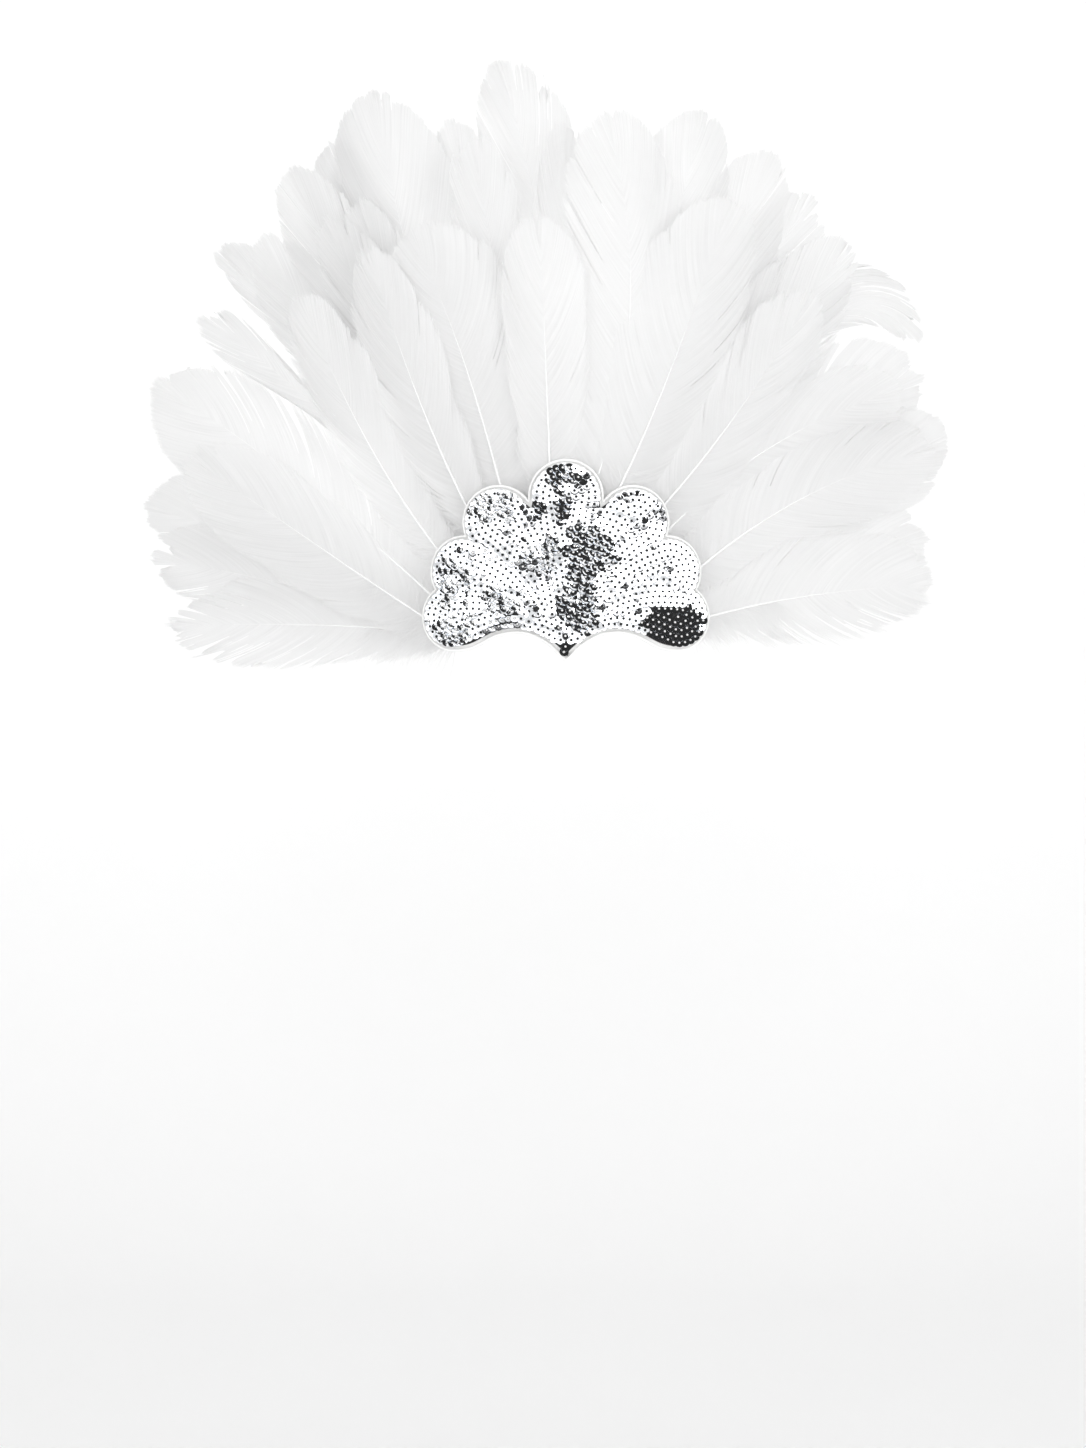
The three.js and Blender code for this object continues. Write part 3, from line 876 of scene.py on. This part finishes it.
# From left to right
FRONT_FEATHERS = [
    Feather(-90, (-212, 113), -2, 46, 0, (0.2, 0.2), down=(2.2, 0.3)),
    Feather(-80, (-235, 155), 4, 64, 1, (0.2, 1.0), down=(0.2, 0.5), sides=(1.05, 0.82)),
    Feather(-60, (-146, 199), -11, 36, 0, (0.4, 0.2), down=(0.6, 0.8)),
    Feather(-47, (-138, 241), 0, 36, 2, (0.5, 0.4), down=(0.8, 0.5)),
    Feather(-42.5, (-121, 252), -4, 34, 3, (0.5, 0.5)),
    Feather(-38, (-107, 223), -8, 36, 0, (0.5, 0.2)),
    Feather(-27, (-85, 232), 4, 60, 1, (0.2, 0.4), down=(0.4, 0.4)),
    Feather(-7, (-14, 237), 0, 40, 0, (0.2, 0.2), down=(0.5, 0.5)),
    Feather(0, (20, 294), 25, 58, 1, (0.4, 0.2), down=(0.4, 0.4)),
    Feather(12, (88, 248), 6, 56, 0, (0.2, 0.3), down=(0.4, 0.5)),
    Feather(26, (138, 201), 9, 44, 1, (0.4, 0.3), down=(0.5, 0.4)),
    Feather(40, (195, 150), -13, 46, 2, (0.2, 0.3), down=(0.4, 0.4)),
    Feather(66, (211, 118), -11, 48, 1, (0.3, 0.3), down=(0.5, 0.5)),
    Feather(82, (208, 43), -5, 50, 0, (0.2, 0.85), down=(0.5, 2.2), sides=(1, 0.85)),
]
BACK_FEATHERS = [
    Feather(-88, (-232, 21), 4, 42, 3, (0.8, 0.5), down=(1.6, 0.4), sides=(0.85, 1), wisps=(7, 6)),
    Feather(-79, (-245, 60), 0, 46, 4, (0.8, 0.4), down=(0.6, 0.3), wisps=(6, 2)),
    Feather(-70, (-250, 86), 4, 46, 5, (0.6, 0.4)),
    Feather(
        -61, (-217, 192), 5, 44, 6, (0.9, 0.8), down=(0.1, 0.1), sides=(1.1, 0.9), wisps=(4, 6), slender=5
    ),
    Feather(-53, (-209, 227), 8, 40, 5, (0.7, 0.5), sides=(0.5, 1), wisps=(4, 2)),
    Feather(-45, (-181, 232), -4, 42, 4, (0.5, 0.5), wisps=(4, 1)),
    Feather(-38, (-160, 268), -4, 46, 3, (0.4, 0.4)),
    Feather(-31, (-142, 283), -6, 46, 5, (0.3, 0.3)),
    Feather(-24, (-112, 309), -16, 70, 3.6, (0.2, 0.2)),
    Feather(-19, (-72, 294), -6, 36, 6.4, (0.3, 0.3)),
    Feather(-14, (-53, 282), -3, 40, 3, (0.9, 0.9)),
    Feather(-7, (-43, 324), 4, 58, 5, (0.3, 0.6), hook=-12, wisps=(0, 6)),
    Feather(1, (0, 288), 0, 40, 4, (0.5, 0.5)),
    Feather(9, (79, 298), 6, 56, 3, (0.2, 0.3)),
    Feather(18, (121, 277), 4, 52, 4, (0.2, 0.4), wisps=(1, 4)),
    Feather(27, (147, 257), 2, 52, 5, (0.2, 0.5), wisps=(2, 5)),
    Feather(36, (164, 229), 0, 50, 3, (0.4, 0.4), wisps=(2, 5)),
    Feather(45, (207, 177), -25, 42, 4.4, (0.5, 0.6), hook=70, sides=(1, 0.5), wisps=(5, 2)),
    Feather(54, (212, 160), -8, 54, 5, (0.4, 0.4), sides=(1.2, 1), wisps=(3, 4)),
    Feather(64, (223, 124), -6, 56, 3, (0.3, 0.4), down=(0.3, 0.4), sides=(1.05, 0.85)),
    Feather(77, (215, 67), -6, 48, 5, (0.3, 0.8), down=(0.3, 1.4)),
]


class FeatherLay:
    """Where a feather lies: its bowed centre line in the flat layout and its depth along that line."""

    def __init__(self, feather, row):
        angle = math.radians(feather.root)
        root = FAN_MIDDLE + np.array([row["arc"][0] * math.sin(angle), row["arc"][1] * math.cos(angle)])
        tip = np.array(feather.tip, float)
        way = (tip - root) / np.linalg.norm(tip - root)
        bent = (root + tip) / 2 + np.array([way[1], -way[0]]) * 2 * feather.bow
        hook = math.radians(feather.hook)
        turned = np.array([[math.cos(hook), math.sin(hook)], [-math.sin(hook), math.cos(hook)]])
        controls = [root, root + (bent - root) * 2 / 3, tip + turned @ (bent - tip) * 2 / 3, tip]
        line = np.concatenate([bezier(controls, LINE_STEPS), tip[None]])
        steps = np.linalg.norm(np.diff(line, axis=0), axis=1)
        self.length = steps.sum()
        ending = (line[-1] - line[-2]) / steps[-1]
        self.line = np.concatenate([line, tip + np.outer(LINE_PAST_TIP, ending)])
        steps = np.linalg.norm(np.diff(self.line, axis=0), axis=1)
        self.run = np.concatenate([[0], np.cumsum(steps)])
        self.ahead = unit(np.gradient(self.line, self.run, axis=0))
        self.rank = feather.rank
        self.row = row

    def flat(self, run, sideways):
        """Across and up of a point beside the centre line."""
        x, y = (np.interp(run, self.run, self.line[:, k]) for k in (0, 1))
        ahead_x, ahead_y = (np.interp(run, self.run, self.ahead[:, k]) for k in (0, 1))
        return x + ahead_y * sideways, y - ahead_x * sideways

    def depth(self, run, sideways):
        """Depth of the web's surface behind the board."""
        along = run / self.length
        lean = self.rank * RANK_STEP * run / (1 + run / RANK_EASE)
        ease = np.clip(run / STEP_BACK_OVER, 0, 1)
        step_back = self.row["step_back"] * ease**2 * (3 - 2 * ease)
        curl = self.row["curl"] * np.maximum(0, (along - CURL_FROM) / (1 - CURL_FROM)) ** 2
        return SEAT_DEPTH + step_back + lean - curl + VANE_DROOP * (sideways / DROOP_AT) ** 2


def smooth_noise(rng, at, knots, size):
    """A smooth random curve read at shares from 0 to 1."""
    values = rng.normal(0, size, knots + 1)
    place = np.clip(at, 0, 1) * knots
    low = np.minimum(place.astype(int), knots - 1)
    part = place - low
    part = part * part * (3 - 2 * part)
    return values[low] * (1 - part) + values[low + 1] * part


def web_side(lay, feather, side, looseness, rng):
    """One side of a feather's web, closed and then in free barbs: for each part its points, its faces, and
    how far along the quill and the barb each point is."""
    right = int(side > 0)
    web = lay.length - lay.row["web_from"]
    count = int(web / BARB_PITCH)
    order = np.linspace(0, 1, count)
    base = WEB_SHARE * order
    end = 1 - (1 - order) ** (BARB_SWEEP - LOOSE_SWEEP * looseness)

    # Each barb's length gives the outline
    widened = end ** feather.slender
    shape = widened * np.sqrt(np.maximum(1 - end**WEB_BLUNTNESS, 0)) / WEB_PEAK
    share = feather.sides[right]
    half = feather.width / 2 * WEB_FULLNESS * share * rng.uniform(*WEB_SPREAD) * shape
    half = half * (1 + smooth_noise(rng, end, 8, WEB_WANDER))
    barb_length = np.hypot(half, web * (end - base))

    # Cuts part the web, few on a closed web and many deep ones low on a loose one
    loose_cuts = int(LOOSE_CUTS * looseness**1.5)
    wisp_cuts = feather.wisps[right]
    numbers = (rng.integers(*USUAL_CUTS), loose_cuts, wisp_cuts)
    cuts = np.concatenate([rng.uniform(*kind["between"], number) for kind, number in zip(CUTS, numbers)])
    depth = np.concatenate([
        rng.uniform(kind["depth"][0], kind["depth"][1] + kind["deeper"] * looseness, number)
        for kind, number in zip(CUTS, numbers)
    ])
    wisp = np.arange(len(cuts)) >= len(cuts) - wisp_cuts
    by_place = np.argsort(cuts)
    cuts, depth, wisp = cuts[by_place], depth[by_place], wisp[by_place]

    # Between them each lobe draws to a point, swings along the quill, lifts off and has a rounded end
    lobes = len(cuts) + 1
    lobe = np.searchsorted(cuts, order)
    limits = np.concatenate([[-LOBE_PAST_END], cuts, [1 + LOBE_PAST_END]])
    across_lobe = 2 * (order - limits[lobe]) / (limits[lobe + 1] - limits[lobe]) - 1
    free = np.minimum(np.append(depth, UNCUT_DEPTH), np.append(UNCUT_DEPTH, depth))[lobe][:, None]
    lobe_half = web * (limits[1:] - limits[:-1]) / 2
    deep = (0.2 + 0.8 * looseness) * np.append(depth, 0.2) ** 1.3
    point = rng.uniform(*LOBE_POINT, lobes) + rng.uniform(*LOBE_NARROWS, lobes) * deep
    point = np.minimum(point, 0.9 * lobe_half)[lobe][:, None] * across_lobe[:, None] ** 3
    swing = rng.normal(0, 0.5 + 1.5 * looseness, lobes)
    swing = swing - rng.uniform(*WISP_SWING, lobes) * np.append(wisp, 0)
    swing = swing[lobe][:, None] - point
    lift = rng.normal(0, 0.6 + 1.0 * looseness, lobes)[lobe][:, None]
    rounding = rng.uniform(*LOBE_ROUNDING, lobes)[lobe] * np.abs(across_lobe) ** 5

    # Towards the edge the barbs come free of each other, a few of them together
    clump = np.concatenate([[0], np.cumsum(rng.random(count - 1) < 1 / CLUMP_BARBS)])
    clumps = clump[-1] + 1
    near_tip = np.clip((end - TIP_FROM) / TIP_OVER, 0, 1)
    edge = rng.uniform(*lay.row["edge"], clumps)[clump] * (1 + 1.5 * looseness)
    edge = edge * (1 - (1 - TIP_EDGE) * near_tip**2 * (3 - 2 * near_tip))
    edge_from = 1 - np.minimum(edge / np.maximum(barb_length, 1), EDGE_MOST)[:, None]
    t = np.concatenate([
        edge_from * np.linspace(0, 1, WEB_STEPS + 1),
        edge_from + (1 - edge_from) * np.linspace(0, 1, EDGE_STEPS + 1)[1:],
    ], 1)
    edge_part = np.clip((t - edge_from) / (1 - edge_from), 0, 1)
    free_part = np.clip((t - 1 + free) / free, 0, 1) ** 1.5
    middle = np.bincount(clump, end) / np.bincount(clump)
    draw = 0.5 * web * (middle[clump] - end)[:, None]
    ragged = rng.normal(0, 0.6 + 1.0 * looseness, clumps)[clump] + rng.normal(0, 0.7, count)
    longer = ragged * (1 - 0.6 * near_tip) - rounding

    # Each barb leaves the quill at a slant and bends towards the tip
    out = t * (1 + longer / np.maximum(barb_length, 8))[:, None]
    run = lay.row["web_from"] + web * base[:, None]
    run = run + web * (end - base)[:, None] * (BARB_SLANT * out + (1 - BARB_SLANT) * out**2)
    run = run + swing * free_part + draw * edge_part**1.5
    sideways = side * half[:, None] * ((1 + BARB_BULGE) * out - BARB_BULGE * out**2)

    # It lies a little before or behind the next, on a web that waves and curls, and strays at its end
    relief = rng.normal(0, BARB_RELIEF, count)[:, None] * np.clip(t * 6, 0, 1)
    wave = smooth_noise(rng, order, 6, WEB_WAVE)[:, None] * t**1.5
    edge_curl = rng.uniform(*WEB_CURL)
    stray = rng.normal(0, BARB_STRAY, count)[:, None] * edge_part**2
    back = relief + wave + stray + lift * free_part + edge_curl * t**3
    back = back + rng.normal(0.02, 0.025) * half[:, None] * t
    across, up = lay.flat(run, sideways)
    points = bend_round_head(across, lay.depth(run, sideways) + back, up)
    along = np.stack([web * base[:, None] + 0 * t, side * barb_length[:, None] * t], -1)

    # The closed web, parted at the cuts
    parted = np.zeros((count - 1, WEB_STEPS), bool)
    last = np.zeros(count, bool)
    last[-1] = True
    for cut, cut_depth in zip(cuts, depth):
        before = np.clip(np.searchsorted(order, cut) - 1, 0, count - 2)
        parted[before] |= t[before, :WEB_STEPS] >= 1 - cut_depth
        last[before] = True
    steps = WEB_STEPS + EDGE_STEPS
    web_faces = grid_faces(count, steps + 1).reshape(count - 1, steps, 4)[:, :WEB_STEPS][~parted]

    # Beyond it each barb is a strip of its own that gets narrower to its end
    strip = points[:, WEB_STEPS:]
    to_next = np.zeros_like(strip)
    to_next[:-1] = (strip[1:] - strip[:-1]) / 2
    to_last = np.zeros_like(strip)
    to_last[1:] = -to_next[:-1]
    first = np.roll(last, 1)
    to_next[last] = -to_last[last]
    to_last[first] = -to_next[first]
    narrow = (1 - BARB_TAPER * edge_part[:, WEB_STEPS:] ** 1.2)[..., None]
    edges = np.stack([strip + to_last * narrow, strip + to_next * narrow], 2)
    strip_faces = repeated(grid_faces(EDGE_STEPS + 1, 2), count, (EDGE_STEPS + 1) * 2)
    strip_along = np.repeat(along[:, WEB_STEPS:].reshape(-1, 2), 2, axis=0)
    closed_web = (points.reshape(-1, 3), web_faces, along.reshape(-1, 2))
    free_barbs = (edges.reshape(-1, 3), strip_faces, strip_along)
    return closed_web, free_barbs


def down_side(lay, side, amount, rng):
    """Fine wavy down at the foot of a web, on one side, as flat strips."""
    count = int(DOWN_STRANDS["least"] + DOWN_STRANDS["more"] * amount)
    t = np.linspace(0, 1, DOWN_STEPS)[None]
    reach = min(amount, 1)
    place = DOWN_PLACE["least"] + DOWN_PLACE["more"] * reach
    start = lay.row["web_from"] + rng.uniform(0, 1, count) ** 1.2 * place
    longest = DOWN_LENGTH["longest"] + DOWN_LENGTH["more"] * reach
    length = rng.uniform(DOWN_LENGTH["shortest"], longest, count)
    heading = rng.normal(DOWN_HEADING, DOWN_SPREAD, count)
    wave = rng.uniform(0.4, 1.4, count)[:, None] * np.sin(
        t * rng.uniform(3, 7, count)[:, None] + rng.uniform(0, 6, count)[:, None]
    )
    run = start[:, None] + length[:, None] * t * np.cos(heading)[:, None] + wave * t
    sideways = side * (0.5 + length[:, None] * t * np.sin(heading)[:, None] + 0.6 * wave * t)
    depth = lay.depth(run, sideways) + rng.normal(0.3, 1.5, count)[:, None] * t
    across, up = lay.flat(run, sideways)
    way_across = np.gradient(across, axis=1)
    way_up = np.gradient(up, axis=1)
    half = DOWN_HALF_WIDTH * (1 - 0.75 * t) / np.maximum(np.hypot(way_across, way_up), 1e-6)
    edges = [
        bend_round_head(across + sign * way_up * half, depth, up - sign * way_across * half)
        for sign in (-1, 1)
    ]
    points = np.stack(edges, 2)
    faces = repeated(grid_faces(DOWN_STEPS, 2), count, DOWN_STEPS * 2)
    along = np.stack([start[:, None] + 0 * t, length[:, None] * t], -1)
    return points.reshape(-1, 3), faces, np.repeat(along.reshape(-1, 2), 2, axis=0)


def quill_tube(lay, sides=7, rings=44):
    """The quill, thick at its root and fine where the barbs take over."""
    share = np.linspace(0, 1, rings)[:, None]
    run = share * (lay.row["web_from"] + QUILL_SHARE * (lay.length - lay.row["web_from"]))
    radius = QUILL_TIP_RADIUS + (QUILL_RADIUS - QUILL_TIP_RADIUS) * (1 - share) ** 1.2
    around = np.linspace(0, 2 * math.pi, sides, endpoint=False)[None]
    sideways = radius * np.cos(around)
    across, up = lay.flat(run + 0 * sideways, sideways)
    depth = lay.depth(run, 0 * sideways) + radius * (np.sin(around) - QUILL_SINK)
    points = bend_round_head(across, depth, up).reshape(-1, 3)
    return points, grid_faces(rings, sides, closed=True), np.zeros((len(points), 2))


# Feather web: keratin barbs hooked together, thin enough that light comes through, white and matt with
# a soft sheen. The barbs' lines are drawn 1.8 mm apart along the quill, over twice their real spacing,
# and show in some places more than in others. Further from a point in front of the plaque the web's colour
# is darkened, as painted shade on the outer parts and tips. The map of the barbs is in millimetres.
BARB_LINE = 1.8
BARB_LINE_LENGTH = 70
CLEAR_PATCH = 22
# Painted shade: how far from this point the web's colour starts and ends getting darker, and by how much
PAINTED_TIP_SHADE = {"point": (0, -0.08, 0.07), "near": 0.1, "far": 0.24, "tone": 0.88}  # in metres
LIGHT_THROUGH = 0.5
vane_keratin, tree = begin_material("white goose feather web")
barbs_at = add_node(tree, "ShaderNodeUVMap", uv_map="barbs")
along_barbs = add_node(
    tree,
    "ShaderNodeVectorMath",
    {0: barbs_at, 1: (1 / BARB_LINE, 1 / BARB_LINE_LENGTH, 1)},
    operation="MULTIPLY",
)
lines = add_node(tree, "ShaderNodeTexNoise", {"Vector": along_barbs, "Scale": 1.0, "Detail": 2.0})
patches = add_node(tree, "ShaderNodeTexNoise", {"Vector": barbs_at, "Scale": 1 / CLEAR_PATCH, "Detail": 1.0})
clearness = add_node(
    tree, "ShaderNodeMapRange", {"Value": patches, "From Min": 0.35, "From Max": 0.65, "To Min": 0.2}
)
centred = add_node(tree, "ShaderNodeMath", {0: lines, 1: 0.5}, operation="SUBTRACT")
drawn = add_node(tree, "ShaderNodeMath", {0: centred, 1: clearness}, operation="MULTIPLY")
shade = add_node(tree, "ShaderNodeMapRange", {"Value": drawn, "From Min": -0.28, "From Max": 0.14})
tone = add_node(tree, "ShaderNodeValToRGB", {"Fac": shade})
tone.color_ramp.elements[0].color = linear("#f1f1f1")
tone.color_ramp.elements[1].color = linear("#fcfcfc")
place = add_node(tree, "ShaderNodeTexCoord").outputs["Object"]
from_middle = add_node(tree, "ShaderNodeVectorMath", {0: place, 1: PAINTED_TIP_SHADE["point"]}, operation="DISTANCE")
# Painted shade: the colour is darkened towards the outer tips
painted_tip_shade = add_node(
    tree,
    "ShaderNodeMapRange",
    {
        "Value": from_middle.outputs["Value"],
        "From Min": PAINTED_TIP_SHADE["near"],
        "From Max": PAINTED_TIP_SHADE["far"],
        "To Min": 1.0,
        "To Max": PAINTED_TIP_SHADE["tone"],
    },
)
web_tone_and_painted_shade = add_node(tree, "ShaderNodeVectorMath", {0: tone, "Scale": painted_tip_shade}, operation="SCALE")
bump = add_node(tree, "ShaderNodeBump", {"Height": drawn, "Strength": 0.15, "Distance": 0.2 * MM})
shader = add_node(
    tree,
    "ShaderNodeBsdfPrincipled",
    {
        "Base Color": web_tone_and_painted_shade,
        "Roughness": 0.6,
        "Sheen Weight": 0.1,
        "Sheen Roughness": 0.4,
        "Normal": bump,
    },
)
through = add_node(tree, "ShaderNodeBsdfTranslucent", {"Color": web_tone_and_painted_shade, "Normal": bump})
mixed = add_node(tree, "ShaderNodeMixShader", {0: LIGHT_THROUGH, 1: shader, 2: through})
add_node(tree, "ShaderNodeOutputMaterial", {"Surface": mixed})

# Quill: solid keratin, smoother than the barbs and as white
quill_keratin, tree = begin_material("goose quill")
place = add_node(tree, "ShaderNodeTexCoord").outputs["Object"]
bloom = add_node(tree, "ShaderNodeTexNoise", {"Vector": place, "Scale": 1 / (6 * MM), "Detail": 2.0})
tone = add_node(tree, "ShaderNodeValToRGB", {"Fac": bloom})
tone.color_ramp.elements[0].color = linear("#f1f1f1")
tone.color_ramp.elements[1].color = linear("#fafafa")
shader = add_node(tree, "ShaderNodeBsdfPrincipled", {"Base Color": tone, "Roughness": 0.35})
add_node(tree, "ShaderNodeOutputMaterial", {"Surface": shader})

PATTERN_STEP = 300  # millimetres from one feather's part of the barb pattern to the next


def make_feather(name, node, feather, row, seed):
    """One feather as a joined mesh of its quill, web and down, in place of its CAD solid."""
    rng = np.random.default_rng(seed)
    lay = FeatherLay(feather, row)
    sets = [quill_tube(lay)]
    for side, looseness, amount in zip((-1, 1), feather.loose, feather.down):
        sets.extend(web_side(lay, feather, side, looseness, rng))
        sets.append(down_side(lay, side, amount, rng))
    points, faces, along = zip(*sets)
    # The quill and the closed web are smooth, the free barbs and the down are flat strips
    smooth = np.repeat([True] + [True, False, False] * 2, [len(part) for part in faces])
    starts = np.cumsum([0] + [len(part) for part in points])
    faces = np.concatenate([part + start for part, start in zip(faces, starts)])
    material_of_face = (np.arange(len(faces)) < len(sets[0][1])).astype(int)
    piece = make_piece(
        name, np.concatenate(points), faces, [vane_keratin, quill_keratin], material_of_face, smooth
    )
    along = np.concatenate(along) + seed * PATTERN_STEP
    barbs = piece.data.uv_layers.new(name="barbs")
    barbs.data.foreach_set("uv", along[faces.ravel()].ravel())
    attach(piece, "root")
    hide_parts(node)


for row_name, feathers in (("front", FRONT_FEATHERS), ("back", BACK_FEATHERS)):
    row = ROWS[row_name]
    for number, feather in enumerate(feathers, 1):
        name = f"plume_{row_name}_{number:02d}"
        node = f"{row_name}_feather_{number:02d}"
        make_feather(name, node, feather, row, row["seed"] + number)
